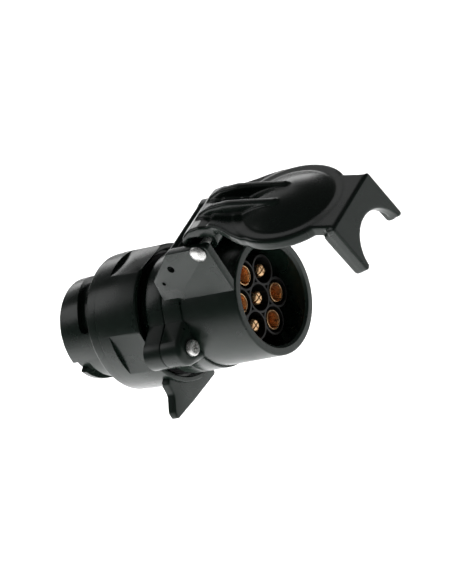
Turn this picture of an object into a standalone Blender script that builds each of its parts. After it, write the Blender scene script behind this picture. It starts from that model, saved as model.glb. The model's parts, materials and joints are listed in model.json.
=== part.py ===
"""Trailer wiring adapter: a 13-pin bayonet plug on one end, a 7-pin socket with a hinged lid on the other.

The X axis is the connector's axis. X = 0 is the face of the 13-pin insert, and the 7-pin mouth looks
along +X. Z is up, with the lid's hinge on top. All sizes are in metres.
"""

import math

import bmesh
import bpy
from mathutils import Matrix, Vector

MM = 0.001
CLEARANCE = 0.3 * MM  # between neighbouring pieces

# Lengths along the axis, from the plug end to the mouth.
COLLAR_PROUD = 12.0 * MM  # bayonet collar beyond the insert's face
RING_START = 7.1 * MM  # grip ring's rear edge
RING_LENGTH = 23.8 * MM
RING_TO_FLANGE = 2.3 * MM
FLANGE_LENGTH = 8.0 * MM  # rear housing, from its flange to the seam
SHOULDER_LENGTH = 8.2 * MM  # front housing, from the seam to the step
BARREL_LENGTH = 25.8 * MM

# Radii.
BARREL_R = 22.0 * MM
BARREL_WALL = 3.6 * MM
FLANGE_R = 22.9 * MM
NECK_R = 20.4 * MM  # rear housing inside the grip ring
HOUSING_WALL = 3.2 * MM
SHELL_R = 14.7 * MM  # fixed shell round the 13 pins
SHELL_WALL = 1.8 * MM
COLLAR_R = 19.2 * MM
COLLAR_WALL = 3.8 * MM
RING_R = 25.7 * MM
RING_WALL = 3.3 * MM

# The 7-pin insert.
CONTACT_PITCH_R = 10.6 * MM
CUP_WALL = 0.8 * MM  # between neighbouring wells
INSERT_DEPTH = 7.0 * MM  # wells' rims behind the mouth
INSERT_FLANGE = 3.5 * MM
FEMALE_R = 3.6 * MM
FEMALE_BORE_R = 2.8 * MM
MALE_R = 2.5 * MM

# The 13-pin insert.
PLUG_INSERT_LENGTH = 12.0 * MM
OUTER_PINS = 8
INNER_PINS = 5
OUTER_PIN_PITCH_R = 9.6 * MM
INNER_PIN_PITCH_R = 4.6 * MM
PLUG_PIN_R = 1.15 * MM
PLUG_PIN_REACH = 8.5 * MM

# Hinge and lid. The lid's own axes are u along it, y across it and w out of its outer face.
HINGE_BACK = 5.0 * MM  # hinge pin behind the mouth
HINGE_HEIGHT = 33.8 * MM
HINGE_WIDTH = 31.0 * MM  # over both ears
EAR_THICKNESS = 3.1 * MM
EAR_TOP = 36.0 * MM
PIN_R = 1.6 * MM
PIN_HEAD_R = 3.2 * MM
LID_TILT = math.radians(10.0)  # below level, as the lid stands open
LID_R = 21.7 * MM
LID_UNDERSIDE = 5.5 * MM  # rim's underside above the hinge pin
LID_THICKNESS = 4.2 * MM
DOME_R = 17.2 * MM
DOME_HEIGHT = 4.3 * MM
DOME_WALL = 2.4 * MM
RIB_SPACING = 9.6 * MM
RIB_THICKNESS = 2.0 * MM
RIB_HEIGHT = 14.7 * MM  # ribs' top above the hinge pin
RIB_END = 33.6 * MM
NOSE_START = 59.0 * MM
NOSE_HALF_WIDTH = 15.6 * MM
NOSE_LENGTH = 20.6 * MM
NOSE_THICKNESS = 4.0 * MM
NOSE_FOLD = math.radians(70.0)
NOTCH_R = 15.0 * MM
NOTCH_START = 8.3 * MM

# Side bosses and their screws.
BOSS_OUT = 25.8 * MM  # screw axis from the connector's axis
BOSS_UP = 1.5 * MM
BOSS_R = 6.1 * MM
BOSS_BASE_HALF = 8.0 * MM
SCREW_HEAD_R = 3.0 * MM
SCREW_SHANK_R = 1.75 * MM
SCREW_LENGTH = 13.0 * MM

# Bayonet and lever.
GROOVE_WIDTH = 5.4 * MM
GROOVE_DEPTH = 2.3 * MM
LEVER_THICKNESS = 3.4 * MM
GRIP_CUT_DEPTH = 1.4 * MM
GRIP_CUTS = 4
GROOVE_START = -80.0  # degrees from the top, towards -Y
GROOVE_END = 53.0
GROOVE_END_X = 0.2 * MM
GROOVE_ENTRY_X = -8.6 * MM
CLIP_WIDTH = 1.0 * MM
CLIP_TO_RING_END = 2.6 * MM
SEAL_WIDTH = 2.4 * MM

# Wiring inside.
WIRE_R = 1.0 * MM
WIRE_HOLE_R = WIRE_R + 0.25 * MM
CRIMP_R = WIRE_R + 0.9 * MM
CRIMP_LENGTH = 6.5 * MM
CRIMP_DEPTH = 4.0 * MM
WIRE_PINS = (8, 0, 3, 2, 6, 1, 4)  # for each contact in turn, the pin that it is wired to

# Places that follow from the sizes.
RING_END = RING_START + RING_LENGTH
FLANGE_X = RING_END + RING_TO_FLANGE
SEAM_X = FLANGE_X + FLANGE_LENGTH
STEP_X = SEAM_X + SHOULDER_LENGTH
MOUTH_X = STEP_X + BARREL_LENGTH
BORE_R = BARREL_R - BARREL_WALL
REAR_BORE_R = FLANGE_R - HOUSING_WALL - CLEARANCE
INSERT_TOP_X = MOUTH_X - INSERT_DEPTH
INSERT_SEAT_X = STEP_X - CLEARANCE
INSERT_BACK_X = INSERT_SEAT_X - INSERT_FLANGE
WELL_R = (CONTACT_PITCH_R - CUP_WALL) / 2
CUP_R = WELL_R + CUP_WALL
WELL_FLOOR_X = STEP_X + 2.8 * MM
CONTACT_BACK_X = INSERT_BACK_X - 0.6 * MM
PIVOT = Vector((MOUTH_X - HINGE_BACK, 0.0, HINGE_HEIGHT))
NECK_HALF = HINGE_WIDTH / 2 - EAR_THICKNESS - CLEARANCE
LID_TOP = LID_UNDERSIDE + LID_THICKNESS
LID_CENTRE = HINGE_HEIGHT  # so that the closed lid is on the connector's axis
GASKET_INNER = BORE_R + 0.4 * MM
GASKET_OUTER = BARREL_R - 1.3 * MM
RING_BORE_R = RING_R - RING_WALL
BOSS_END_X = STEP_X + 1.2 * MM
SHOULDER_X = RING_START + 7.0 * MM  # rear housing's shoulder, which the collar's flange runs on

SET_BACK = 0.05 * MM  # keeps the faces of two joined shapes out of one plane

# Colours.
BLACK = (0.012, 0.014, 0.013)
INSERT_BLACK = (0.008, 0.009, 0.009)
RUBBER = (0.02, 0.02, 0.02)
BRASS = (0.72, 0.45, 0.18)
STEEL = (0.62, 0.62, 0.6)
WIRE_COLOURS = (
    (0.8, 0.8, 0.78),
    (0.75, 0.6, 0.05),
    (0.05, 0.1, 0.5),
    (0.05, 0.35, 0.1),
    (0.25, 0.12, 0.05),
    (0.6, 0.04, 0.03),
    (0.02, 0.02, 0.02),
)

BARREL_STEPS = 48
SMALL_STEPS = 20
CONTACT_ANGLES = {"female": (0, 180, 120, 300), "male": (60, 240)}  # from the top, towards +Y


def clear_scene():
    for obj in list(bpy.data.objects):
        bpy.data.objects.remove(obj, do_unlink=True)


def new_collection(name):
    collection = bpy.data.collections.new(name)
    bpy.context.scene.collection.children.link(collection)
    return collection


clear_scene()
PARTS = new_collection("trailer_adapter")
CUTTERS = new_collection("cutters")


def material(name, colour, roughness, metallic=0.0):
    made = bpy.data.materials.new(name)
    made.use_nodes = True
    shader = made.node_tree.nodes["Principled BSDF"]
    shader.inputs["Base Color"].default_value = (*colour, 1.0)
    shader.inputs["Roughness"].default_value = roughness
    shader.inputs["Metallic"].default_value = metallic
    return made


def place(name, mesh, look=None):
    obj = bpy.data.objects.new(name, mesh)
    if look is None:
        CUTTERS.objects.link(obj)
        obj.hide_render = True
        obj.display_type = "WIRE"
    else:
        PARTS.objects.link(obj)
        mesh.materials.append(look)
    return obj


def smooth(obj):
    obj.data.shade_smooth()
    obj.data.set_sharp_from_angle(angle=math.radians(35))


def turned(name, profile, look=None, steps=BARREL_STEPS, closed=True):
    """A body turned round the X axis. The profile's (radius, x) points run down its outer side."""
    mesh = bpy.data.meshes.new(name)
    points = [(radius, 0.0, x) for radius, x in profile]
    edges = [(i, i + 1) for i in range(len(points) - 1)]
    if closed:
        edges.append((len(points) - 1, 0))
    mesh.from_pydata(points, edges, [])
    obj = place(name, mesh, look)
    screw = obj.modifiers.new("turn", "SCREW")
    screw.axis = "Z"
    screw.steps = steps
    screw.render_steps = steps
    screw.use_merge_vertices = True
    screw.merge_threshold = 0.00001
    screw.use_smooth_shade = True
    obj.rotation_euler = (0.0, math.pi / 2, 0.0)
    return obj


def bake(obj):
    """The object with its modifiers applied and its transform in its mesh."""
    bpy.context.view_layer.update()
    graph = bpy.context.evaluated_depsgraph_get()
    mesh = bpy.data.meshes.new_from_object(obj.evaluated_get(graph))
    mesh.transform(obj.matrix_world)
    form = bmesh.new()
    form.from_mesh(mesh)
    bmesh.ops.remove_doubles(form, verts=form.verts, dist=0.000001)
    form.to_mesh(mesh)
    form.free()
    look = obj.data.materials[0] if obj.data.materials else None
    name = obj.name
    bpy.data.objects.remove(obj, do_unlink=True)
    mesh.materials.clear()
    made = place(name, mesh, look)
    made.name = name
    return made


def outline(name, points, thickness, frame, look=None):
    """A flat outline of (a, b) points, extruded to both sides of its plane and put in place by a matrix."""
    curve = bpy.data.curves.new(name, "CURVE")
    curve.dimensions = "2D"
    curve.fill_mode = "BOTH"
    curve.extrude = thickness / 2
    spline = curve.splines.new("POLY")
    spline.points.add(len(points) - 1)
    for point, (a, b) in zip(spline.points, points):
        point.co = (a, b, 0.0, 1.0)
    spline.use_cyclic_u = True
    obj = place(name, curve, look)
    obj.matrix_world = frame
    return bake(obj)


def rod(name, radius, start, end, look=None, sides=SMALL_STEPS, end_radius=None):
    """A straight round bar or cone between two points."""
    axis = Vector(end) - Vector(start)
    form = bmesh.new()
    bmesh.ops.create_cone(
        form,
        cap_ends=True,
        segments=sides,
        radius1=radius,
        radius2=radius if end_radius is None else end_radius,
        depth=axis.length,
    )
    turn = axis.to_track_quat("Z", "Y").to_matrix().to_4x4()
    middle = Matrix.Translation((Vector(start) + Vector(end)) / 2)
    bmesh.ops.transform(form, matrix=middle @ turn, verts=form.verts)
    mesh = bpy.data.meshes.new(name)
    form.to_mesh(mesh)
    form.free()
    return place(name, mesh, look)


def box(name, low, high, look=None):
    form = bmesh.new()
    bmesh.ops.create_cube(form, size=1.0)
    low = Vector(low)
    size = Vector(high) - low
    scale = Matrix.Diagonal((*size, 1.0))
    bmesh.ops.transform(form, matrix=Matrix.Translation(low + size / 2) @ scale, verts=form.verts)
    mesh = bpy.data.meshes.new(name)
    form.to_mesh(mesh)
    form.free()
    return place(name, mesh, look)


def combine(obj, other, operation):
    step = obj.modifiers.new(operation.lower(), "BOOLEAN")
    step.operation = operation
    step.object = other
    step.solver = "EXACT"
    if operation == "UNION":
        other.hide_render = True
        other.display_type = "WIRE"
        if other.name in PARTS.objects:
            PARTS.objects.unlink(other)
            CUTTERS.objects.link(other)
    return obj


def join(obj, other):
    return combine(obj, other, "UNION")


def cut(obj, other):
    return combine(obj, other, "DIFFERENCE")


def ring_point(angle, radius, x):
    """The point at this angle from the top, in degrees towards +Y."""
    turn = math.radians(angle)
    return Vector((x, radius * math.sin(turn), radius * math.cos(turn)))


def arc(centre, radius, start, end, count):
    """Points of an arc in a plane, with angles in degrees."""
    made = []
    for i in range(count + 1):
        turn = math.radians(start + (end - start) * i / count)
        made.append((centre[0] + radius * math.cos(turn), centre[1] + radius * math.sin(turn)))
    return made


# Matrices that take an outline's (a, b) plane to one of the object's planes.
ACROSS = Matrix(((0, 0, 1, 0), (1, 0, 0, 0), (0, 1, 0, 0), (0, 0, 0, 1)))  # a = Y, b = Z, thick along X
SIDE = Matrix(((1, 0, 0, 0), (0, 0, -1, 0), (0, 1, 0, 0), (0, 0, 0, 1)))  # a = X, b = Z, thick along Y


def slab(points, thickness, frame, name="slab"):
    return outline(name, points, thickness, frame)


def boss_outline(side, radius):
    """A boss beside the barrel: round about its screw, with flanks that run into the barrel."""
    facing = 0 if side > 0 else 180
    turn = -75 if side > 0 else 75
    centre = (side * BOSS_OUT, BOSS_UP)
    round_end = arc(centre, radius, facing + turn, facing - turn, 10)
    half = BOSS_BASE_HALF + 1.6 * MM
    inside = side * (BARREL_R - 4.0 * MM)
    return round_end + [(inside, BOSS_UP + half), (inside, BOSS_UP - half)]


def boss(side, start, end, radius, front_rounding=0.0):
    frame = Matrix.Translation(((start + end) / 2, 0, 0)) @ ACROSS
    made = slab(boss_outline(side, radius), end - start, frame, "boss")
    if front_rounding:
        round_edges(made, lambda point: point.x > end - 0.00001, front_rounding, 3)
    return made


def round_edges(obj, chosen, width, segments=2):
    """Rounds the edges whose two ends are both chosen."""
    form = bmesh.new()
    form.from_mesh(obj.data)
    edges = [edge for edge in form.edges if all(chosen(vert.co) for vert in edge.verts)]
    edges = [edge for edge in edges if edge.calc_face_angle(0.0) > 0.3]
    bmesh.ops.bevel(
        form,
        geom=edges,
        offset=width,
        offset_type="OFFSET",
        segments=segments,
        profile=0.5,
        affect="EDGES",
        clamp_overlap=True,
    )
    form.to_mesh(obj.data)
    form.free()
    return obj


def saddle():
    """The two hinge ears and the sloping wall that joins them at the back."""
    front = MOUTH_X - 0.5 * MM
    top_back = MOUTH_X - 19.0 * MM
    slope_back = MOUTH_X - 31.7 * MM
    back = MOUTH_X - 32.9 * MM
    foot = 15.3 * MM
    wall = 2.5 * MM
    side = [
        (front, foot),
        (front, EAR_TOP - 1.6 * MM),
        (front - 0.5 * MM, EAR_TOP - 0.5 * MM),
        (front - 1.6 * MM, EAR_TOP),
        (top_back, EAR_TOP),
        (slope_back, 25.7 * MM),
        (back, 18.5 * MM),
        (back, foot),
    ]
    body = slab(side, HINGE_WIDTH, SIDE, "saddle")
    slope = math.atan2(EAR_TOP - 25.7 * MM, top_back - slope_back)
    shift = Vector((wall * math.sin(slope), -wall * math.cos(slope)))
    low = Vector((slope_back, 25.7 * MM)) + shift
    high = Vector((top_back, EAR_TOP)) + shift + 10.0 * MM * Vector((math.cos(slope), math.sin(slope)))
    pocket = [
        (front + 3.0 * MM, foot - 2.0 * MM),
        (front + 3.0 * MM, high.y),
        tuple(high),
        tuple(low),
        (back + wall, foot - 2.0 * MM),
    ]
    cut(body, slab(pocket, HINGE_WIDTH - 2 * EAR_THICKNESS, SIDE, "saddle_pocket"))
    return body


def front_housing(look):
    """The 7-pin barrel in one moulding with the hinge ears and the front halves of the side bosses."""
    edge = 0.5 * MM
    outer = [
        (0.0, MOUTH_X),
        (BARREL_R - edge, MOUTH_X),
        (BARREL_R, MOUTH_X - edge),
        (BARREL_R + 0.2 * MM, STEP_X),
        (FLANGE_R - 0.2 * MM, STEP_X),
        (FLANGE_R, STEP_X - 0.2 * MM),
        (FLANGE_R, SEAM_X + edge),
        (FLANGE_R - 0.3 * MM, SEAM_X + CLEARANCE / 2),
        (0.0, SEAM_X + CLEARANCE / 2),
    ]
    body = turned("front_housing", outer, look, closed=False)
    join(body, saddle())
    for side in (-1, 1):
        join(body, boss(side, SEAM_X + CLEARANCE / 2 + SET_BACK, BOSS_END_X, BOSS_R, 1.8 * MM))
    bore = [
        (0.0, MOUTH_X + 5.0 * MM),
        (BORE_R + 0.5 * MM, MOUTH_X + 5.0 * MM),
        (BORE_R + 0.5 * MM, MOUTH_X),
        (BORE_R, MOUTH_X - edge),
        (BORE_R, STEP_X),
        (REAR_BORE_R, STEP_X),
        (REAR_BORE_R, SEAM_X - 5.0 * MM),
        (0.0, SEAM_X - 5.0 * MM),
    ]
    cut(body, turned("front_bore", bore, closed=False))
    pin_side = Vector((0, HINGE_WIDTH, 0))
    cut(body, rod("ear_bore", PIN_R + CLEARANCE, PIVOT - pin_side, PIVOT + pin_side))
    for side in (-1, 1):
        axis = Vector((0, side * BOSS_OUT, BOSS_UP))
        start = axis + Vector((SEAM_X - 1.0 * MM, 0, 0))
        end = axis + Vector((BOSS_END_X + 1.0 * MM, 0, 0))
        cut(body, rod("screw_bore", SCREW_SHANK_R + CLEARANCE, start, end, sides=14))
        hole = Vector((MOUTH_X - 20.9 * MM, side * HINGE_WIDTH / 2, 29.3 * MM))
        across = Vector((0, 4.0 * MM, 0))
        cut(body, rod("ear_hole", 1.45 * MM, hole - across, hole + across, sides=14))
    key_low = (STEP_X + 2.0 * MM, -1.5 * MM, -BORE_R - 1.0 * MM)
    key_high = (INSERT_TOP_X, 1.5 * MM, -BORE_R + 1.6 * MM)
    join(body, box("key", key_low, key_high))
    return body


def rear_housing(look):
    """The rear half: a spigot into the front half, the flange, the neck under the grip ring and the pin shell."""
    spigot_r = REAR_BORE_R - CLEARANCE
    spigot_x = INSERT_BACK_X - CLEARANCE
    seam = SEAM_X - CLEARANCE / 2
    shell_end = -PLUG_PIN_REACH - 1.0 * MM
    cavity_r = NECK_R - HOUSING_WALL
    clip_x = clip_start()
    groove = 1.0 * MM
    outer = [
        (0.0, spigot_x),
        (spigot_r, spigot_x),
        (spigot_r, seam),
        (FLANGE_R - 0.3 * MM, seam),
        (FLANGE_R, seam - 0.4 * MM),
        (FLANGE_R, FLANGE_X + 0.9 * MM),
        (FLANGE_R - 0.6 * MM, FLANGE_X),
        (NECK_R, FLANGE_X),
        (NECK_R, clip_x + CLIP_WIDTH + CLEARANCE),
        (NECK_R - groove, clip_x + CLIP_WIDTH + CLEARANCE),
        (NECK_R - groove, clip_x - CLEARANCE),
        (NECK_R, clip_x - CLEARANCE),
        (NECK_R, SHOULDER_X),
        (SHELL_R, SHOULDER_X),
        (SHELL_R, shell_end + 0.4 * MM),
        (SHELL_R - 0.4 * MM, shell_end),
        (0.0, shell_end),
    ]
    body = turned("rear_housing", outer, look, closed=False)
    for side in (-1, 1):
        join(body, boss(side, FLANGE_X + SET_BACK, seam - SET_BACK, BOSS_R - 0.2 * MM))
    shell_bore = SHELL_R - SHELL_WALL
    lip_r = shell_bore - 1.5 * MM
    stop_x = PLUG_INSERT_LENGTH + CLEARANCE
    bore = [
        (0.0, spigot_x + 5.0 * MM),
        (cavity_r, spigot_x + 5.0 * MM),
        (cavity_r, SHOULDER_X + HOUSING_WALL),
        (lip_r, SHOULDER_X + HOUSING_WALL - 0.8 * MM),
        (lip_r, stop_x),
        (shell_bore, stop_x),
        (shell_bore, shell_end - 5.0 * MM),
        (0.0, shell_end - 5.0 * MM),
    ]
    cut(body, turned("rear_bore", bore, closed=False))
    for side in (-1, 1):
        axis = Vector((0, side * BOSS_OUT, BOSS_UP))
        tip = BOSS_END_X - SCREW_LENGTH
        start = axis + Vector((tip - 0.5 * MM, 0, 0))
        end = axis + Vector((seam + 1.0 * MM, 0, 0))
        cut(body, rod("pilot_bore", SCREW_SHANK_R + CLEARANCE, start, end, sides=14))
    return body


def clip_start():
    """Where the retaining ring's rear face is, just in front of the grip ring's inner rib."""
    return RING_END - CLIP_TO_RING_END


def retaining_ring(look):
    start = clip_start()
    inner = NECK_R - 1.0 * MM + CLEARANCE
    outer = RING_BORE_R + 0.2 * MM
    profile = [(outer, start + CLIP_WIDTH), (outer, start), (inner, start), (inner, start + CLIP_WIDTH)]
    body = turned("retaining_ring", profile, look, steps=48)
    gap = (start - MM, -1.5 * MM, -outer - MM)
    cut(body, box("clip_gap", gap, (start + 2 * MM, 1.5 * MM, 0)))
    return body


def grip_ring(look):
    """The ring that is turned by hand, with flat grip recesses and the corner-shaped lever."""
    rim = 0.6 * MM
    wall_end = RING_START + 2.9 * MM
    hole_r = COLLAR_R + CLEARANCE
    rib_r = NECK_R + CLEARANCE
    rib_end = clip_start() - CLEARANCE
    rib_start = rib_end - 2.5 * MM
    lip_r = RING_R - 2.1 * MM
    profile = [
        (RING_R - rim, RING_END),
        (RING_R, RING_END - rim),
        (RING_R, RING_START + 4.5 * MM),
        (RING_R - 0.2 * MM, RING_START + 4.3 * MM),
        (RING_R - 0.2 * MM, RING_START + rim),
        (RING_R - rim, RING_START),
        (hole_r, RING_START),
        (hole_r, wall_end),
        (RING_BORE_R, wall_end),
        (RING_BORE_R, rib_start),
        (rib_r, rib_start),
        (rib_r, rib_end),
        (lip_r, rib_end),
        (lip_r, RING_END),
    ]
    body = turned("grip_ring", profile, look)
    join(body, lever())
    for i in range(GRIP_CUTS):
        cut(body, grip_cutter(i))
    return body


def grip_cutter(index):
    """A block that leaves a flat recess, open at the ring's front and square at the back."""
    flat = RING_R - GRIP_CUT_DEPTH
    start = RING_END - 14.3 * MM
    made = box("grip_cut", (start, -12 * MM, flat), (RING_END + 3 * MM, 12 * MM, flat + 8 * MM))
    turn = math.radians(84.0 - 90.0 * index)
    made.rotation_euler = (turn, 0, 0)
    return made


def lever():
    """A thin corner-shaped thumb lever that stands out of the ring's front, low on the -Y side."""
    front = RING_END - 1.5 * MM
    back = front - LEVER_THICKNESS
    inside = RING_R - 1.5 * MM
    points = [
        (-21.0 * MM, -11.5 * MM),
        (-24.6 * MM, -13.6 * MM),
        (-25.2 * MM, -18.4 * MM),
        (-29.3 * MM, -22.8 * MM),
        (-30.2 * MM, -24.4 * MM),
        (-29.4 * MM, -25.6 * MM),
        (-18.7 * MM, -27.2 * MM),
        (-1.6 * MM, -28.8 * MM),
        (-0.8 * MM, -28.2 * MM),
        (-0.8 * MM, -inside),
        (-14.5 * MM, -20.0 * MM),
    ]
    frame = Matrix.Translation(((front + back) / 2, 0, 0)) @ ACROSS
    return slab(points, LEVER_THICKNESS, frame, "lever")


def coupling_collar(look):
    """The bayonet collar: it turns with the grip ring, and two grooves wind into it from its rim."""
    inner = COLLAR_R - COLLAR_WALL
    flange_r = RING_BORE_R - CLEARANCE
    flange_start = RING_START + 2.9 * MM + CLEARANCE
    flange_end = SHOULDER_X - CLEARANCE
    seat_r = inner + 1.2 * MM
    seat_x = flange_end - SEAL_WIDTH - 2 * CLEARANCE
    rim = 0.5 * MM
    profile = [
        (flange_r, flange_end),
        (flange_r, flange_start),
        (COLLAR_R, flange_start),
        (COLLAR_R, rim - COLLAR_PROUD),
        (COLLAR_R - rim, -COLLAR_PROUD),
        (inner + rim, -COLLAR_PROUD),
        (inner, rim - COLLAR_PROUD),
        (inner, seat_x),
        (seat_r, seat_x),
        (seat_r, flange_end),
    ]
    body = turned("coupling_collar", profile, look)
    for half in (0, 180):
        cut(body, groove_cutter(half))
        end = ring_point(-(GROOVE_END + half), COLLAR_R - GROOVE_DEPTH, GROOVE_END_X)
        out = ring_point(-(GROOVE_END + half), COLLAR_R + 3 * MM, GROOVE_END_X)
        cut(body, rod("groove_end", GROOVE_WIDTH / 2, end, out))
    return body


def groove_cutter(half):
    """A round bar wound along a bayonet groove: in from the rim, round and forward, then level."""
    curve = bpy.data.curves.new("groove", "CURVE")
    curve.dimensions = "3D"
    curve.bevel_depth = GROOVE_WIDTH / 2
    curve.bevel_resolution = 2
    curve.use_fill_caps = True
    places = []
    count = 16
    for i in range(count + 1):
        share = i / count
        angle = GROOVE_START + 4 + (GROOVE_END - GROOVE_START - 4) * share
        rise = 1 - (1 - share) ** 1.6
        places.append((angle, GROOVE_ENTRY_X + (GROOVE_END_X - GROOVE_ENTRY_X) * rise))
    places.insert(0, (GROOVE_START, -COLLAR_PROUD - 4 * MM))
    spline = curve.splines.new("POLY")
    spline.points.add(len(places) - 1)
    for point, (angle, x) in zip(spline.points, places):
        at = ring_point(-(angle + half), COLLAR_R + 0.4 * MM, x)
        point.co = (*at, 1.0)
    return bake(place("groove", curve))


def plug_seal(look):
    end = SHOULDER_X - CLEARANCE - CLEARANCE
    inner = SHELL_R + 0.25 * MM
    outer = COLLAR_R - COLLAR_WALL + 1.2 * MM - CLEARANCE
    profile = [(outer, end), (outer, end - SEAL_WIDTH), (inner, end - SEAL_WIDTH), (inner, end)]
    return turned("plug_seal", profile, look, steps=40)


def pin_places():
    """(y, z) of the 13 pins: the outer ring first, then the inner ring."""
    made = []
    for count, radius, first in ((OUTER_PINS, OUTER_PIN_PITCH_R, 22.5), (INNER_PINS, INNER_PIN_PITCH_R, 0.0)):
        for i in range(count):
            at = ring_point(first + 360.0 * i / count, radius, 0.0)
            made.append((at.y, at.z))
    return made


def plug_insert(look):
    radius = SHELL_R - SHELL_WALL - CLEARANCE
    rim = 0.4 * MM
    profile = [
        (0.0, PLUG_INSERT_LENGTH),
        (radius, PLUG_INSERT_LENGTH),
        (radius, rim),
        (radius - rim, 0.0),
        (0.0, 0.0),
    ]
    body = turned("plug_insert", profile, look, steps=40, closed=False)
    for y, z in pin_places():
        start = (-MM, y, z)
        end = (PLUG_INSERT_LENGTH + MM, y, z)
        cut(body, rod("pin_bore", PLUG_PIN_R + CLEARANCE, start, end, sides=12))
    return body


def plug_pins(look):
    """Round-ended pins with a crimp cup behind the insert. They share one mesh."""
    cup_r = PLUG_PIN_R + 0.45 * MM
    cup_start = PLUG_INSERT_LENGTH + CLEARANCE
    cup_end = cup_start + 6.0 * MM
    profile = [
        (0.0, cup_end - CRIMP_DEPTH),
        (WIRE_HOLE_R, cup_end - CRIMP_DEPTH),
        (WIRE_HOLE_R, cup_end),
        (cup_r, cup_end),
        (cup_r, cup_start),
        (PLUG_PIN_R, cup_start),
        (PLUG_PIN_R, PLUG_PIN_R * 0.7 - PLUG_PIN_REACH),
        (PLUG_PIN_R * 0.65, PLUG_PIN_R * 0.2 - PLUG_PIN_REACH),
        (0.0, -PLUG_PIN_REACH),
    ]
    for i, (y, z) in enumerate(pin_places()):
        made = turned(f"plug_pin_{i + 1:02d}", profile, look, steps=10, closed=False)
        made.location = (0.0, y, z)


def contact_places():
    """(kind, y, z) of the seven contacts: the earth pin in the middle, then the ring of six."""
    made = [("male", 0.0, 0.0)]
    for kind, angles in CONTACT_ANGLES.items():
        for angle in angles:
            at = ring_point(angle, CONTACT_PITCH_R, 0.0)
            made.append((kind, at.y, at.z))
    return made


def socket_insert(look):
    """The 7-way insert: a flange and seven wells with shared walls."""
    radius = REAR_BORE_R - CLEARANCE
    flange = [
        (0.0, INSERT_SEAT_X),
        (radius, INSERT_SEAT_X),
        (radius, INSERT_BACK_X),
        (0.0, INSERT_BACK_X),
    ]
    body = turned("socket_insert", flange, look, steps=40, closed=False)
    places = contact_places()
    for i, (_, y, z) in enumerate(places):
        offset = i * SET_BACK
        start = INSERT_BACK_X + MM + offset
        join(body, rod("cup", CUP_R, (start, y, z), (INSERT_TOP_X + MM + offset, y, z), sides=24))
    above = [(0.0, MOUTH_X), (BARREL_R, MOUTH_X), (BARREL_R, INSERT_TOP_X), (0.0, INSERT_TOP_X)]
    cut(body, turned("level", above, closed=False))
    for _, y, z in places:
        cut(body, rod("well", WELL_R, (WELL_FLOOR_X, y, z), (INSERT_TOP_X + MM, y, z), sides=24))
        through = (INSERT_BACK_X - MM, y, z)
        cut(body, rod("contact_bore", FEMALE_R + CLEARANCE, through, (WELL_FLOOR_X + MM, y, z), sides=16))
    for step in body.modifiers:
        if step.type == "BOOLEAN":
            step.solver = "MANIFOLD"  # holds up where seven like cups meet
    return body


def crimp_tail():
    """The profile behind a contact's body: a shoulder and a cup that the wire goes into."""
    end = CONTACT_BACK_X - CRIMP_LENGTH
    return [
        (FEMALE_R, CONTACT_BACK_X),
        (CRIMP_R, CONTACT_BACK_X),
        (CRIMP_R, end),
        (WIRE_HOLE_R, end),
        (WIRE_HOLE_R, end + CRIMP_DEPTH),
        (0.0, end + CRIMP_DEPTH),
    ]


def female_contact(name, y, z, look):
    tip = INSERT_TOP_X - 0.4 * MM
    floor = tip - 15.0 * MM
    lead = 0.4 * MM
    profile = [
        (0.0, floor),
        (FEMALE_BORE_R, floor),
        (FEMALE_BORE_R, tip - lead),
        (FEMALE_BORE_R + 0.3 * MM, tip),
        (FEMALE_R - 0.2 * MM, tip),
        (FEMALE_R, tip - lead),
    ]
    body = turned(name, profile + crimp_tail(), look, steps=20, closed=False)
    body.location = (0.0, y, z)


def male_contact(name, y, z, look):
    """A solid pin with a round end and a cross slit."""
    tip = INSERT_TOP_X - 0.3 * MM
    nose = 1.6 * MM
    profile = [(0.0, tip)]
    for i in range(1, 5):
        turn = math.radians(90.0 * i / 4)
        profile.append((MALE_R * math.sin(turn), tip - nose * (1 - math.cos(turn))))
    profile.append((MALE_R, WELL_FLOOR_X - 0.5 * MM))
    profile.append((FEMALE_R, WELL_FLOOR_X - 0.5 * MM))
    body = turned(name, profile + crimp_tail(), look, steps=20, closed=False)
    body.location = (0.0, y, z)
    half = 0.25 * MM
    reach = MALE_R + MM
    low_x = tip - 8.0 * MM
    cut(body, box("slit", (low_x, y - half, z - reach), (tip + MM, y + half, z + reach)))
    cut(body, box("slit", (low_x, y - reach, z - half), (tip + MM, y + reach, z + half)))


def contacts(look):
    count = {"female": 0, "male": 0}
    for kind, y, z in contact_places():
        count[kind] += 1
        make = female_contact if kind == "female" else male_contact
        make(f"{kind}_contact_{count[kind]}", y, z, look)


def wires(looks):
    """Seven wires, each from a contact's cup to a pin's cup in an easy S."""
    start_x = CONTACT_BACK_X - CRIMP_LENGTH + 3.5 * MM
    end_x = PLUG_INSERT_LENGTH + CLEARANCE + 2.5 * MM
    straight = 5.0 * MM
    pins = pin_places()
    for i, (_, y, z) in enumerate(contact_places()):
        pin_y, pin_z = pins[WIRE_PINS[i]]
        points = [(start_x, y, z)]
        count = 10
        for step in range(count + 1):
            share = step / count
            ease = share * share * (3 - 2 * share)
            x = start_x - straight + (end_x + straight - start_x + straight) * share
            points.append((x, y + (pin_y - y) * ease, z + (pin_z - z) * ease))
        points.append((end_x, pin_y, pin_z))
        curve = bpy.data.curves.new(f"wire_{i + 1}", "CURVE")
        curve.dimensions = "3D"
        curve.bevel_depth = WIRE_R
        curve.bevel_resolution = 2
        curve.use_fill_caps = True
        spline = curve.splines.new("POLY")
        spline.points.add(len(points) - 1)
        for point, at in zip(spline.points, points):
            point.co = (*at, 1.0)
        place(f"wire_{i + 1}", curve, looks[i])


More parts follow.
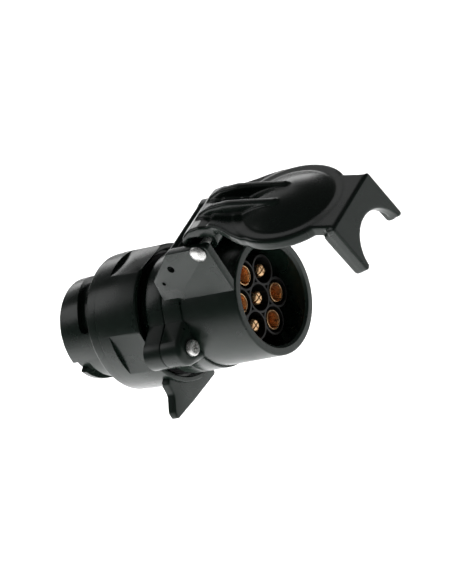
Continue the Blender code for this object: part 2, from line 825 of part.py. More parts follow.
def housing_screw(name, side, look):
    """A pan-head screw with a cross recess, which holds the two housing halves together."""
    under = BOSS_END_X + CLEARANCE
    height = 1.9 * MM
    tip = under - SCREW_LENGTH
    profile = [(0.0, under + height)]
    for i in range(1, 4):
        turn = math.radians(90.0 * i / 4)
        reach = SCREW_HEAD_R * math.sin(turn)
        profile.append((reach, under + 0.7 * MM + (height - 0.7 * MM) * math.cos(turn)))
    profile += [
        (SCREW_HEAD_R, under + 0.5 * MM),
        (SCREW_HEAD_R, under),
        (SCREW_SHANK_R, under),
        (SCREW_SHANK_R, tip + MM),
        (0.0, tip),
    ]
    body = turned(name, profile, look, steps=20, closed=False)
    y = side * BOSS_OUT
    body.location = (0.0, y, BOSS_UP)
    half = 0.35 * MM
    reach = 1.6 * MM
    floor = under + 0.8 * MM
    top = under + 3 * MM
    cut(body, box("slot", (floor, y - half, BOSS_UP - reach), (top, y + half, BOSS_UP + reach)))
    cut(body, box("slot", (floor, y - reach, BOSS_UP - half), (top, y + reach, BOSS_UP + half)))


def hinge_pin(look):
    """The rivet that the lid turns on, with a domed head outside each ear."""
    face = HINGE_WIDTH / 2 + CLEARANCE
    dome = 1.6 * MM
    profile = [(0.0, face + dome)]
    for i in range(1, 5):
        turn = math.radians(90.0 * i / 4)
        profile.append((PIN_HEAD_R * math.sin(turn), face + dome * math.cos(turn)))
    profile.append((PIN_R, face))
    profile += [(radius, -x) for radius, x in reversed(profile)]
    body = turned("hinge_pin", profile, look, steps=20, closed=False)
    body.rotation_euler = (math.pi / 2, 0, 0)
    body.location = PIVOT


def hang(obj, hinge):
    obj.parent = hinge
    return obj


def dome_height(reach, wall=0.0):
    """How high above the hinge pin the dome's face, or the face this far under it, is at a radius."""
    sphere_r = (DOME_R**2 + DOME_HEIGHT**2) / (2 * DOME_HEIGHT)
    return LID_TOP + DOME_HEIGHT - sphere_r + math.sqrt((sphere_r - wall) ** 2 - reach**2)


def lid_turned(name, profile, look=None, steps=BARREL_STEPS, closed=True):
    """A body turned about the lid's own middle. The profile's points are (radius, height over the pin)."""
    body = turned(name, profile, look, steps, closed)
    body.rotation_euler = (0, 0, 0)
    body.location = (LID_CENTRE, 0, 0)
    return bake(body)


def lid_disc(look):
    """The lid's round part, a thick rim with a dome on it."""
    profile = [(DOME_R * i / 5, dome_height(DOME_R * i / 5)) for i in range(6)]
    edge = 1.0 * MM
    profile += [
        (LID_R - edge, LID_TOP),
        (LID_R - 0.3 * edge, LID_TOP - 0.3 * edge),
        (LID_R, LID_TOP - edge),
        (LID_R, LID_UNDERSIDE + 0.8 * MM),
        (LID_R - 0.5 * MM, LID_UNDERSIDE),
        (0.0, LID_UNDERSIDE),
    ]
    return lid_turned("lid", profile, look, closed=False)


def lid_hollow():
    """What is cut from the lid's underside, inside the gasket."""
    radius = BORE_R - 1.0 * MM
    profile = [(radius * i / 4, dome_height(radius * i / 4, DOME_WALL)) for i in range(5)]
    low = LID_UNDERSIDE - 4.0 * MM
    profile += [(radius + 0.3 * MM, LID_UNDERSIDE), (radius + 0.3 * MM, low), (0.0, low)]
    return lid_turned("lid_hollow", profile, closed=False)


def gasket_groove():
    outer = GASKET_OUTER + CLEARANCE
    inner = GASKET_INNER - CLEARANCE
    high = LID_UNDERSIDE + MM
    low = LID_UNDERSIDE - 1.5 * MM
    return lid_turned("gasket_groove", [(outer, high), (outer, low), (inner, low), (inner, high)])


def lid_gasket(look, hinge):
    low = LID_UNDERSIDE - 0.3 * MM
    high = LID_UNDERSIDE + MM - CLEARANCE
    profile = [(GASKET_OUTER, high), (GASKET_OUTER, low), (GASKET_INNER, low), (GASKET_INNER, high)]
    return hang(lid_turned("lid_gasket", profile, look, steps=40), hinge)


def neck_plate():
    """The plate from the hinge to the round part, seen from above, and bent down behind the pin."""
    low = LID_UNDERSIDE - 1.3 * MM
    top = LID_TOP - 1.2 * MM
    side = [
        (22.0 * MM, LID_UNDERSIDE + 1.0 * MM),
        (22.0 * MM, LID_TOP - 0.6 * MM),
        (8.0 * MM, top + 0.3 * MM),
        (1.0 * MM, top),
        (-3.5 * MM, top - 1.4 * MM),
        (-6.8 * MM, top - 4.0 * MM),
        (-8.4 * MM, top - 7.4 * MM),
        (-8.2 * MM, -0.8 * MM),
        (-6.6 * MM, -0.8 * MM),
        (-6.2 * MM, 1.0 * MM),
        (-4.6 * MM, low - 0.6 * MM),
        (-1.0 * MM, low),
        (7.0 * MM, low),
        (9.5 * MM, LID_UNDERSIDE + 0.6 * MM),
    ]
    return slab(side, 2 * NECK_HALF, SIDE, "neck")


def flare():
    """The webs that widen the neck to the round part."""
    half = NECK_HALF
    side = [
        (5.0 * MM, half - 0.6 * MM),
        (9.0 * MM, half + 1.2 * MM),
        (13.0 * MM, half + 3.8 * MM),
        (19.0 * MM, half + 3.9 * MM),
        (26.0 * MM, half - 0.6 * MM),
    ]
    points = side + [(a, -b) for a, b in reversed(side)]
    middle = (LID_TOP - 0.7 * MM + LID_UNDERSIDE + 0.5 * MM) / 2
    deep = LID_THICKNESS - 1.2 * MM
    return slab(points, deep, Matrix.Translation((0, 0, middle)), "flare")


def knuckle(side):
    """A round eye about the pin, with a web up to the neck."""
    near = side * 3.6 * MM
    far = side * 8.4 * MM
    radius = PIN_R + 2.6 * MM
    eye = rod("eye", radius, (0, near, 0), (0, far, 0), sides=24)
    web_low = (-radius * 0.9, min(near, far), 0)
    web_high = (radius * 0.9, max(near, far), LID_UNDERSIDE + MM)
    join(eye, box("eye_web", web_low, web_high))
    return bake(eye)


def rib(side):
    top = RIB_HEIGHT
    end = arc((RIB_END - 1.4 * MM, top - 1.4 * MM), 1.4 * MM, 90, 0, 4)
    points = [
        (-4.4 * MM, 5.0 * MM),
        (-3.0 * MM, 7.6 * MM),
        (-0.6 * MM, 9.6 * MM),
        (2.2 * MM, 11.4 * MM),
        (5.6 * MM, 12.9 * MM),
        (10.0 * MM, 13.9 * MM),
        (16.0 * MM, top - 0.2 * MM),
        *end,
        (RIB_END, LID_TOP + 1.0 * MM),
        (20.0 * MM, LID_UNDERSIDE + 2.2 * MM),
    ]
    frame = Matrix.Translation((0, side * RIB_SPACING / 2, 0)) @ SIDE
    return slab(points, RIB_THICKNESS, frame, "rib")


def nose():
    """The fork that bends down from the lid's free end, with a wide arc cut out of it."""
    half = NOSE_HALF_WIDTH
    notch_centre = NOTCH_START + NOTCH_R
    sweep = math.degrees(math.asin((notch_centre - NOSE_LENGTH + 1.2 * MM) / NOTCH_R))
    notch = [(-a, b) for a, b in arc((0.0, notch_centre), NOTCH_R, -sweep, sweep - 180, 16)]
    points = [(-half, 0.0), (half, 0.0), (half, NOSE_LENGTH - 0.8 * MM), (half - 0.7 * MM, NOSE_LENGTH)]
    points += [(-a, b) for a, b in notch]
    points += [(-half + 0.7 * MM, NOSE_LENGTH), (-half, NOSE_LENGTH - 0.8 * MM)]
    down = Vector((math.cos(NOSE_FOLD), 0, -math.sin(NOSE_FOLD)))
    out = Vector((math.sin(NOSE_FOLD), 0, math.cos(NOSE_FOLD)))
    start = Vector((NOSE_START, 0, LID_TOP)) - out * NOSE_THICKNESS / 2
    frame = Matrix(
        (
            (0, down.x, out.x, start.x),
            (1, down.y, out.y, start.y),
            (0, down.z, out.z, start.z),
            (0, 0, 0, 1),
        )
    )
    return slab(points, NOSE_THICKNESS, frame, "nose")


def shelf():
    """The flat between the round part and the fork."""
    half = NOSE_HALF_WIDTH - 1.0 * MM
    start = LID_CENTRE + DOME_R - 4.0 * MM
    end = NOSE_START - 0.6 * MM
    points = [(start, half), (start, -half), (end, -half), (end, half)]
    middle = (LID_TOP - 0.01 * MM + LID_UNDERSIDE) / 2
    return slab(points, LID_THICKNESS - 0.1 * MM, Matrix.Translation((0, 0, middle)), "shelf")


def lid(look, hinge):
    body = hang(lid_disc(look), hinge)
    pieces = [shelf(), nose(), flare(), neck_plate(), knuckle(-1), knuckle(1), rib(-1), rib(1)]
    for piece in pieces:
        join(body, hang(piece, hinge))
    cut(body, hang(lid_hollow(), hinge))
    cut(body, hang(gasket_groove(), hinge))
    side = Vector((0, HINGE_WIDTH, 0))
    cut(body, hang(rod("lid_bore", PIN_R + CLEARANCE, -side, side), hinge))
    return body


def main():
    black = material("black_plastic", BLACK, 0.32)
    dark = material("insert_plastic", INSERT_BLACK, 0.45)
    rubber = material("rubber", RUBBER, 0.8)
    brass = material("brass", BRASS, 0.28, 1.0)
    steel = material("steel", STEEL, 0.3, 1.0)
    front_housing(black)
    rear_housing(black)
    retaining_ring(steel)
    grip_ring(black)
    coupling_collar(black)
    plug_seal(rubber)
    plug_insert(dark)
    plug_pins(brass)
    socket_insert(dark)
    contacts(brass)
    wires([material(f"wire_{i + 1}", colour, 0.5) for i, colour in enumerate(WIRE_COLOURS)])
    for name, side in (("near", -1), ("far", 1)):
        housing_screw(f"housing_screw_{name}", side, steel)
    hinge_pin(steel)
    hinge = bpy.data.objects.new("lid_hinge", None)
    PARTS.objects.link(hinge)
    hinge.location = PIVOT
    hinge.rotation_euler = (0, LID_TILT, 0)
    lid(black, hinge)
    lid_gasket(rubber, hinge)
    for obj in PARTS.objects:
        if obj.type == "MESH":
            smooth(obj)


main()
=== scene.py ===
"""The looks of a trailer wiring adapter: fine mouldings, brass contacts and steel fixings.

Shapes are in millimetres, in the adapter's frame: X runs along the axis to the socket's mouth, and Z points
to the hinge. put() brings a finished piece to metres. The room and its lamps are in metres.
"""

import json
import math

import bmesh
import bpy
from mathutils import Matrix, Vector


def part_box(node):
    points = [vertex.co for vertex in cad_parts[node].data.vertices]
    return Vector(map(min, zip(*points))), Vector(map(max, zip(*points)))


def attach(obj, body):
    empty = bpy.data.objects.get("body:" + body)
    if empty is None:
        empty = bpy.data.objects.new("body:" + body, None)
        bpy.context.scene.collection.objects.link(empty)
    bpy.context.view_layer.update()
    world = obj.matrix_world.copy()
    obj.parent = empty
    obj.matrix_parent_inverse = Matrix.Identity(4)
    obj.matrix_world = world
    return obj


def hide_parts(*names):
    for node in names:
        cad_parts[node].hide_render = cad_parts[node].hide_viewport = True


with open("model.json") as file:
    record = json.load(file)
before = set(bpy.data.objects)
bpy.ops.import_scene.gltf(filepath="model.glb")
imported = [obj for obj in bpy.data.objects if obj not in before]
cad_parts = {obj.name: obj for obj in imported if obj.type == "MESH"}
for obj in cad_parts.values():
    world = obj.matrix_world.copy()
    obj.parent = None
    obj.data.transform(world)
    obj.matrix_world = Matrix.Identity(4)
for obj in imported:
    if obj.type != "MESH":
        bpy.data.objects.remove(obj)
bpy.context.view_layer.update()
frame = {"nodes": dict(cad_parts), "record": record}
MM = 0.001

# Places along the axis.
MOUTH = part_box("front_housing")[1].x / MM
STEP = MOUTH - 25.8
SEAM = STEP - 8.2
FLANGE = SEAM - 8.0
RING_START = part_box("grip_ring")[0].x / MM
RING_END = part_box("grip_ring")[1].x / MM
RING_LIP = RING_START + 2.9
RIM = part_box("coupling_collar")[0].x / MM
COLLAR_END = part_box("coupling_collar")[1].x / MM
INSERT_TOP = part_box("socket_insert")[1].x / MM
INSERT_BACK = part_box("socket_insert")[0].x / MM
WELL_FLOOR = STEP + 2.8
SHELL_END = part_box("rear_housing")[0].x / MM
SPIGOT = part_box("rear_housing")[1].x / MM
GAP = 0.3
SEAM_HALF = 0.15

# Radii.
BARREL_R = 22.0
BORE_R = 18.4
REAR_BORE_R = 19.4
FLANGE_R = 22.9
NECK_R = 20.4
RING_R = 25.7
RING_BORE_R = 22.4
COLLAR_R = 19.2
COLLAR_BORE_R = 15.4
SHELL_R = 14.7
SHELL_BORE_R = 12.9
CONTACT_PITCH_R = 10.6
WELL_R = 4.9
CUP_R = 5.7

# The hinge and the lid.
PIVOT = Vector((MOUTH - 5.0, 0.0, 33.8))
HINGE_WIDTH = 31.0
HINGE_BORE_R = 1.9
EAR = 3.1
EAR_TOP = 36.0
EAR_ROOT = 15.3
SADDLE_TOP_X = MOUTH - 19.0
SADDLE_FOOT_X = MOUTH - 31.7
SADDLE_FOOT_Z = 25.7
SADDLE_BACK_X = MOUTH - 32.9
SADDLE_BACK_Z = 18.5
LID_TILT = math.radians(10)
LID_R = 21.7
LID_CENTRE = PIVOT.z
LID_UNDER = 5.5
LID_TOP = 9.7
DOME_R = 17.2
DOME_HEIGHT = 4.3
DOME_WALL = 2.4
NECK_HALF = HINGE_WIDTH / 2 - EAR - GAP
NOSE_START = 59.0
NOSE_FOLD = math.radians(70)

# The side bosses and their screws.
BOSS_OUT = 25.8
BOSS_UP = 1.5
BOSS_R = 6.1
BOSS_HALF_ROOT = 9.6
BOSS_FRONT = STEP + 1.2
SCREW_BORE_R = 2.0

# The contacts.
CONTACT_R = 3.6
SLIT_HALF = 0.25
SLIT_LENGTH = 9

FINE = 144  # sides of a large round
SMALL = 64  # sides of a contact or a fixing
CREASE = 35  # faces that meet at more than this many degrees keep their edge

# Where an outline's two directions and its thickness go.
ACROSS = Matrix(((0, 0, 1, 0), (1, 0, 0, 0), (0, 1, 0, 0), (0, 0, 0, 1)))  # Y and Z, thick along X
ALONG = Matrix(((1, 0, 0, 0), (0, 0, -1, 0), (0, 1, 0, 0), (0, 0, 0, 1)))  # X and Z, thick against Y
FLAT = Matrix.Identity(4)  # X and Y, thick along Z
LID_FRAME = Matrix.Translation(PIVOT) @ Matrix.Rotation(LID_TILT, 4, "Y")

# The room, in metres. Each lamp has a place, a size and a power in watts, and aims at MIDDLE.
FLOOR = -0.28
MIDDLE = (MOUTH * 0.6 * MM, 0, 0.01)
LAMPS = {
    "overhead": ((-0.75, -0.15, 0.75), (0.5, 0.5), 0.9),
    "back": ((-0.8, 1.0, 0.35), (1.0, 0.4), 2.8),
    "near": ((-0.9, -1.0, -0.02), (1.4, 0.5), 1.5),
    "above": ((-0.5, 0.75, 0.75), (0.5, 0.3), 0.25),
}

BLACK = (0.0105, 0.0215, 0.0155)  # nylon with a greenish cast


# Shapes. Every maker returns an object that is closed and faces outwards.


def made_from(form, name):
    """An object from a bmesh, with doubled points joined and every face turned outwards."""
    bmesh.ops.remove_doubles(form, verts=form.verts, dist=0.0001)
    bmesh.ops.recalc_face_normals(form, faces=form.faces)
    if form.calc_volume(signed=True) < 0:
        bmesh.ops.reverse_faces(form, faces=form.faces)
    mesh = bpy.data.meshes.new(name)
    form.to_mesh(mesh)
    form.free()
    obj = bpy.data.objects.new(name, mesh)
    bpy.context.scene.collection.objects.link(obj)
    return obj


def soften(corners, closed=True, steps=4):
    """Rounds an outline's corners. Each corner is (a, b) or (a, b, radius)."""
    made = []
    count = len(corners)
    for i, corner in enumerate(corners):
        here = Vector(corner[:2])
        if len(corner) < 3 or (not closed and i in (0, count - 1)):
            made.append(here)
            continue
        back = Vector(corners[i - 1][:2]) - here
        on = Vector(corners[(i + 1) % count][:2]) - here
        longest = 0.48 * min(back.length, on.length)
        back.normalize()
        on.normalize()
        half = back.angle(on) / 2
        reach = min(corner[2] / math.tan(half), longest)
        centre = here + (back + on).normalized() * reach / math.cos(half)
        start = here + back * reach - centre
        end = here + on * reach - centre
        radius = reach * math.tan(half)
        made += [centre + radius * start.slerp(end, k / steps) for k in range(steps + 1)]
    return made


def turned(name, corners, steps=FINE, closed=False, softness=4):
    """A body turned round X from (radius, x) corners. An open profile starts and ends on the axis."""
    profile = soften(corners, closed, softness)
    form = bmesh.new()
    rings = []
    for radius, x in profile:
        if radius < 0.0001:
            rings.append([form.verts.new((x, 0, 0))] * steps)
            continue
        ring = []
        for i in range(steps):
            turn = math.tau * i / steps
            ring.append(form.verts.new((x, radius * math.sin(turn), radius * math.cos(turn))))
        rings.append(ring)
    pairs = list(zip(rings, rings[1:]))
    if closed:
        pairs.append((rings[-1], rings[0]))
    for one, other in pairs:
        for i in range(steps):
            j = (i + 1) % steps
            corners_of_face = list(dict.fromkeys((one[i], one[j], other[j], other[i])))
            if len(corners_of_face) > 2:
                form.faces.new(corners_of_face)
    return made_from(form, name)


def bevel(form, rim, width, segments):
    bmesh.ops.bevel(
        form,
        geom=rim,
        offset=width,
        offset_type="OFFSET",
        segments=segments,
        profile=0.5,
        affect="EDGES",
    )


def plate(name, corners, low, high, place, edge=0.0, edge_steps=3, high_edge=None):
    """A flat outline made thick from low to high along its normal, with its rims rounded by edge.

    high_edge rounds the rim at high by another width.
    """
    if high_edge is None:
        high_edge = edge
    form = bmesh.new()
    outline = soften(corners)
    floor = [form.verts.new((a, b, low)) for a, b in outline]
    roof = [form.verts.new((a, b, high)) for a, b in outline]
    form.faces.new(list(reversed(floor)))
    form.faces.new(roof)
    count = len(outline)
    for i in range(count):
        j = (i + 1) % count
        form.faces.new((floor[i], floor[j], roof[j], roof[i]))
    for level, width in ((low, edge), (high, high_edge)):
        if width:
            rim = [e for e in form.edges if all(abs(vert.co.z - level) < 0.0001 for vert in e.verts)]
            bevel(form, rim, width, edge_steps)
    form.transform(place)
    return made_from(form, name)


def rod(name, radius, start, end, sides=48, edge=0.0):
    """A round bar between two points, with both rims rounded by edge."""
    axis = Vector(end) - Vector(start)
    form = bmesh.new()
    bmesh.ops.create_cone(
        form, cap_ends=True, segments=sides, radius1=radius, radius2=radius, depth=axis.length
    )
    if edge:
        rim = [e for e in form.edges if abs(e.verts[0].co.z - e.verts[1].co.z) < 0.0001]
        bevel(form, rim, edge, 3)
    form.transform(axis.to_track_quat("Z", "Y").to_matrix().to_4x4())
    form.transform(Matrix.Translation((Vector(start) + Vector(end)) / 2))
    return made_from(form, name)


def cross_rod(name, radius, place, reach):
    """A round bar along Y that reaches this far to both sides of a place."""
    across = Vector((0, reach, 0))
    return rod(name, radius, place - across, place + across)


def block(name, low, high):
    corners = [(low[0], low[1]), (high[0], low[1]), (high[0], high[1]), (low[0], high[1])]
    return plate(name, corners, low[2], high[2], FLAT)


def baked(obj):
    """Applies the object's modifiers to its mesh."""
    bpy.context.view_layer.update()
    graph = bpy.context.evaluated_depsgraph_get()
    mesh = bpy.data.meshes.new_from_object(obj.evaluated_get(graph))
    obj.modifiers.clear()
    obj.data = mesh
    return obj


def combine(obj, tools, operation):
    """Applies one Boolean for each tool, and removes the tools."""
    for tool in tools:
        step = obj.modifiers.new("step", "BOOLEAN")
        step.operation = operation
        step.solver = "EXACT"
        step.object = tool
        baked(obj)
        bpy.data.objects.remove(tool, do_unlink=True)
    return obj


def join(obj, *tools):
    return combine(obj, tools, "UNION")


def cut(obj, *tools):
    return combine(obj, tools, "DIFFERENCE")


def melt(obj, grain, passes):
    """Remeshes a body so that its pieces flow into each other, as in a moulding with rounded corners."""
    step = obj.modifiers.new("melt", "REMESH")
    step.mode = "VOXEL"
    step.voxel_size = grain
    step.use_smooth_shade = True
    ease = obj.modifiers.new("ease", "SMOOTH")
    ease.factor = 0.5
    ease.iterations = passes
    return baked(obj)


def ring_point(angle, radius, x):
    """The point at this angle from the top, in degrees towards +Y."""
    turn = math.radians(angle)
    return Vector((x, radius * math.sin(turn), radius * math.cos(turn)))


def shade(data, crease):
    """Smooth shading, with edges kept where faces meet at more than this many degrees."""
    data.shade_smooth()
    data.set_sharp_from_angle(angle=math.radians(crease))


def put(obj, look, body, node, crease=CREASE):
    """Brings a finished piece to metres, shades it, and sets what it rides on and replaces."""
    obj.data.transform(Matrix.Scale(MM, 4))
    obj.data.materials.clear()
    obj.data.materials.append(look)
    shade(obj.data, crease)
    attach(obj, body)
    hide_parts(node)


# The housing halves.


def boss(side, low, high, radius, edge, front_edge):
    """A boss beside the barrel: round about its screw, with flanks that run into the barrel."""
    centre = Vector((side * BOSS_OUT, BOSS_UP))
    facing = 0 if side > 0 else 180
    half_arc = 75
    steps = 16
    corners = []
    for i in range(steps + 1):
        turn = math.radians(facing - half_arc + 2 * half_arc * i / steps)
        corners.append(tuple(centre + radius * Vector((math.cos(turn), math.sin(turn)))))
    inside = side * (BARREL_R - 4)
    half = side * BOSS_HALF_ROOT
    corners += [(inside, BOSS_UP + half), (inside, BOSS_UP - half)]
    return plate("boss", corners, low, high, ACROSS, edge, 5, front_edge)


def screw_bore(side, low, high):
    """A cutter along a boss's screw, between two places along the axis."""
    return rod("screw_bore", SCREW_BORE_R, (low, side * BOSS_OUT, BOSS_UP), (high, side * BOSS_OUT, BOSS_UP))


def ear(side):
    front = MOUTH - 0.5
    corners = [
        (front, EAR_ROOT),
        (front, EAR_TOP, 1.6),
        (SADDLE_TOP_X, EAR_TOP, 1.2),
        (SADDLE_FOOT_X, SADDLE_FOOT_Z, 1.5),
        (SADDLE_BACK_X, SADDLE_BACK_Z, 1.0),
        (SADDLE_BACK_X, EAR_ROOT),
    ]
    inner = HINGE_WIDTH / 2 - EAR
    low, high = sorted((-side * inner, -side * HINGE_WIDTH / 2))
    return plate("ear", corners, low, high, ALONG, 0.45)


def saddle_back():
    """The sloping wall between the ears."""
    wall = 2.5
    slope = math.atan2(EAR_TOP - SADDLE_FOOT_Z, SADDLE_TOP_X - SADDLE_FOOT_X)
    inward = wall * Vector((math.sin(slope), -math.cos(slope)))
    high = Vector((SADDLE_TOP_X, EAR_TOP))
    low = Vector((SADDLE_FOOT_X, SADDLE_FOOT_Z))
    corners = [
        (*(low + Vector((-0.15, -0.1))), 1.5),
        (*(high + Vector((0.3, 0.0))), 0.8),
        (*(high + inward + Vector((0.3, 0.1))), 0.8),
        (*(low + inward), 1.0),
        (SADDLE_BACK_X + wall, EAR_ROOT),
        (SADDLE_BACK_X, EAR_ROOT),
        (SADDLE_BACK_X, SADDLE_BACK_Z, 1.0),
    ]
    reach = HINGE_WIDTH / 2 - 0.6
    return plate("saddle_back", corners, -reach, reach, ALONG, 0.4)


def front_housing(look):
    outer = [
        (0, MOUTH),
        (BARREL_R, MOUTH, 0.7),
        (BARREL_R + 0.2, STEP),
        (FLANGE_R, STEP, 0.5),
        (FLANGE_R, SEAM + SEAM_HALF, 0.35),
        (0, SEAM + SEAM_HALF),
    ]
    body = turned("front_moulding", outer)
    join(body, ear(-1), ear(1), saddle_back())
    for side in (-1, 1):
        join(body, boss(side, SEAM + 0.27, BOSS_FRONT, BOSS_R, 0.4, 2.2))
    bore = [
        (0, MOUTH + 5),
        (BORE_R + 1.2, MOUTH + 5),
        (BORE_R + 0.9, MOUTH),
        (BORE_R, MOUTH - 0.9),
        (BORE_R, STEP),
        (REAR_BORE_R, STEP),
        (REAR_BORE_R, SEAM - 5),
        (0, SEAM - 5),
    ]
    cut(body, turned("bore", bore))
    key_half = 1.5
    key_low = (STEP + 2, -key_half, -BORE_R - 1)
    key_high = (INSERT_TOP - 0.1, key_half, -BORE_R + 1.6)
    join(body, block("key", key_low, key_high))
    cut(body, cross_rod("pin_bore", HINGE_BORE_R, PIVOT, HINGE_WIDTH))
    for side in (-1, 1):
        face = side * HINGE_WIDTH / 2
        hole = Vector((MOUTH - 20.9, face, 29.3))
        dent = Vector((MOUTH - 27.8, face, 23.8))
        cut(body, cross_rod("hole", 1.45, hole, EAR + 0.9))
        cut(body, cross_rod("dent", 0.8, dent, 0.8))
        cut(body, screw_bore(side, SEAM - 1, MOUTH))
    put(body, look, "adapter", "front_housing")


def rear_housing(look):
    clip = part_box("retaining_ring")
    clip_low = clip[0].x / MM - GAP
    clip_high = clip[1].x / MM + GAP
    seam = SEAM - SEAM_HALF
    shoulder = COLLAR_END + GAP
    outer = [
        (0, SPIGOT),
        (REAR_BORE_R - GAP, SPIGOT, 0.2),
        (REAR_BORE_R - GAP, seam),
        (FLANGE_R, seam, 0.45),
        (FLANGE_R, FLANGE, 0.9),
        (NECK_R, FLANGE),
        (NECK_R, clip_high),
        (NECK_R - 1, clip_high),
        (NECK_R - 1, clip_low),
        (NECK_R, clip_low),
        (NECK_R, shoulder),
        (SHELL_R, shoulder),
        (SHELL_R, SHELL_END, 0.5),
        (0, SHELL_END),
    ]
    body = turned("rear_moulding", outer)
    for side in (-1, 1):
        join(body, boss(side, FLANGE + 0.05, seam - 0.05, BOSS_R - 0.15, 0.9, 0.4))
    insert_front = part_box("plug_insert")[1].x / MM
    chamber_r = 17.2
    throat_r = 11.4
    bore = [
        (0, SPIGOT + 5),
        (chamber_r, SPIGOT + 5),
        (chamber_r, shoulder + 3.2),
        (throat_r, shoulder + 2.4),
        (throat_r, insert_front + GAP),
        (SHELL_BORE_R, insert_front + GAP),
        (SHELL_BORE_R, SHELL_END + 0.6),
        (SHELL_BORE_R + 0.6, SHELL_END - 0.01),
        (SHELL_BORE_R + 0.6, SHELL_END - 5),
        (0, SHELL_END - 5),
    ]
    cut(body, turned("rear_bore", bore))
    for side in (-1, 1):
        cut(body, screw_bore(side, FLANGE + 4, SEAM + 1))
    put(body, look, "adapter", "rear_housing")


# The coupling: grip ring, lever and bayonet collar.


def lever():
    """The ring's corner-shaped lever: a flat plate that stands out below on the near side."""
    front = RING_END - 1.5
    thickness = 3.4
    corners = [
        (-21.0, -11.5),
        (-24.4, -13.4, 1.2),
        (-25.0, -18.2, 3.0),
        (-29.3, -22.6, 3.0),
        (-30.4, -25.6, 1.0),
        (-18.7, -27.2, 8.0),
        (-0.8, -29.0, 1.4),
        (-0.8, -24.2),
        (-14.5, -20.0),
    ]
    return plate("lever", corners, front - thickness, front, ACROSS, 0.6)


def grip_cutter(index):
    """A flat recess, open at the ring's front, with rounded corners at the back."""
    flat = RING_R - 1.4
    start = RING_END - 14.3
    end = RING_END + 3
    half = 12
    corners = [(start, -half, 4.0), (end, -half), (end, half), (start, half, 4.0)]
    turn = Matrix.Rotation(math.radians(84 - 90 * index), 4, "X")
    return plate("grip_cut", corners, flat, flat + 8, turn)


def grip_ring(look):
    clip_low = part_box("retaining_ring")[0].x / MM - GAP
    profile = [
        (RING_R, RING_END, 0.6),
        (RING_R, RING_START + 4.6, 0.2),
        (RING_R - 0.25, RING_START + 4.3),
        (RING_R - 0.25, RING_START, 0.7),
        (COLLAR_R + GAP, RING_START, 0.3),
        (COLLAR_R + GAP, RING_LIP),
        (RING_BORE_R, RING_LIP),
        (RING_BORE_R, clip_low - 2.5),
        (NECK_R + GAP, clip_low - 2.5),
        (NECK_R + GAP, clip_low),
        (RING_R - 2.1, clip_low),
        (RING_R - 2.1, RING_END - 0.5),
        (RING_R - 1.6, RING_END),
    ]
    body = turned("ring_moulding", profile, closed=True)
    for i in range(4):
        cut(body, grip_cutter(i))
    join(body, lever())
    put(body, look, "coupling", "grip_ring")


def groove_cutter(turn):
    """A bayonet groove: a flat-bottomed band that enters at the rim, winds forward and ends round.

    Its angles are in degrees from the top towards -Y, and the whole groove is moved on by turn.
    """
    width = 5.4
    floor_r = COLLAR_R - 2.3
    roof_r = COLLAR_R + 1.5
    degree = math.radians(1) * COLLAR_R
    first_angle = -88
    entry_end = -72
    wind_start = -68
    wind_angle = 123
    end_angle = 61
    start_x = -6.9
    travel = 7.2
    steps = 60
    form = bmesh.new()
    loops = []
    for i in range(steps + 1):
        angle = first_angle + (end_angle - first_angle) * i / steps
        share = min(max((angle - wind_start) / wind_angle, 0), 1)
        centre = start_x + travel * share * share * (3 - 2 * share)
        to_end = (end_angle - angle) * degree
        spread = width / 2
        if to_end < spread:
            spread *= math.sqrt(max(1 - (1 - to_end / spread) ** 2, 0.0004))
        low = RIM - 2 if angle < entry_end else centre - spread
        high = centre + spread
        corners = []
        for radius, x in ((floor_r, low), (floor_r, high), (roof_r, high), (roof_r, low)):
            corners.append(form.verts.new(ring_point(-(angle + turn), radius, x)))
        loops.append(corners)
    for one, other in zip(loops, loops[1:]):
        for k in range(4):
            m = (k + 1) % 4
            form.faces.new((one[k], one[m], other[m], other[k]))
    form.faces.new(loops[0])
    form.faces.new(list(reversed(loops[-1])))
    return made_from(form, "groove")


def coupling_collar(look):
    flange_start = RING_LIP + GAP
    seat_r = COLLAR_BORE_R + 1.2
    seat_x = COLLAR_END - 3.0
    profile = [
        (RING_BORE_R - GAP, COLLAR_END, 0.3),
        (RING_BORE_R - GAP, flange_start, 0.3),
        (COLLAR_R, flange_start),
        (COLLAR_R, RIM, 0.7),
        (COLLAR_BORE_R, RIM, 0.5),
        (COLLAR_BORE_R, seat_x),
        (seat_r, seat_x),
        (seat_r, COLLAR_END),
    ]
    body = turned("collar_moulding", profile, closed=True)
    cut(body, groove_cutter(0), groove_cutter(180))
    put(body, look, "coupling", "coupling_collar")


# The lid.


def dome_height(reach, wall=0.0):
    """The dome's height over the pin at this reach from its middle, or of its inside when it has a wall."""
    sphere_r = (DOME_R**2 + DOME_HEIGHT**2) / (2 * DOME_HEIGHT)
    return LID_TOP + DOME_HEIGHT - sphere_r + math.sqrt((sphere_r - wall) ** 2 - reach**2)


def lid_turned(name, corners, closed=False):
    """A body turned about the lid's upright middle, from (radius, height over the pin) corners."""
    body = turned(name, corners, closed=closed)
    stand = Matrix(((0, 0, -1, LID_CENTRE), (0, 1, 0, 0), (1, 0, 0, 0), (0, 0, 0, 1)))
    body.data.transform(stand)
    return body


def lid_disc():
    steps = 12
    reaches = [DOME_R * i / steps for i in range(steps)]
    corners = [(reach, dome_height(reach)) for reach in reaches]
    corners += [
        (DOME_R, LID_TOP, 1.5),
        (LID_R, LID_TOP, 1.4),
        (LID_R, LID_UNDER, 0.7),
        (0, LID_UNDER),
    ]
    return lid_turned("lid_moulding", corners)


def lid_hollow():
    radius = BORE_R - 1
    steps = 10
    reaches = [radius * i / steps for i in range(steps + 1)]
    corners = [(reach, dome_height(reach, DOME_WALL)) for reach in reaches]
    corners += [(radius + 0.3, LID_UNDER), (radius + 0.3, LID_UNDER - 4), (0, LID_UNDER - 4)]
    return lid_turned("lid_hollow", corners)


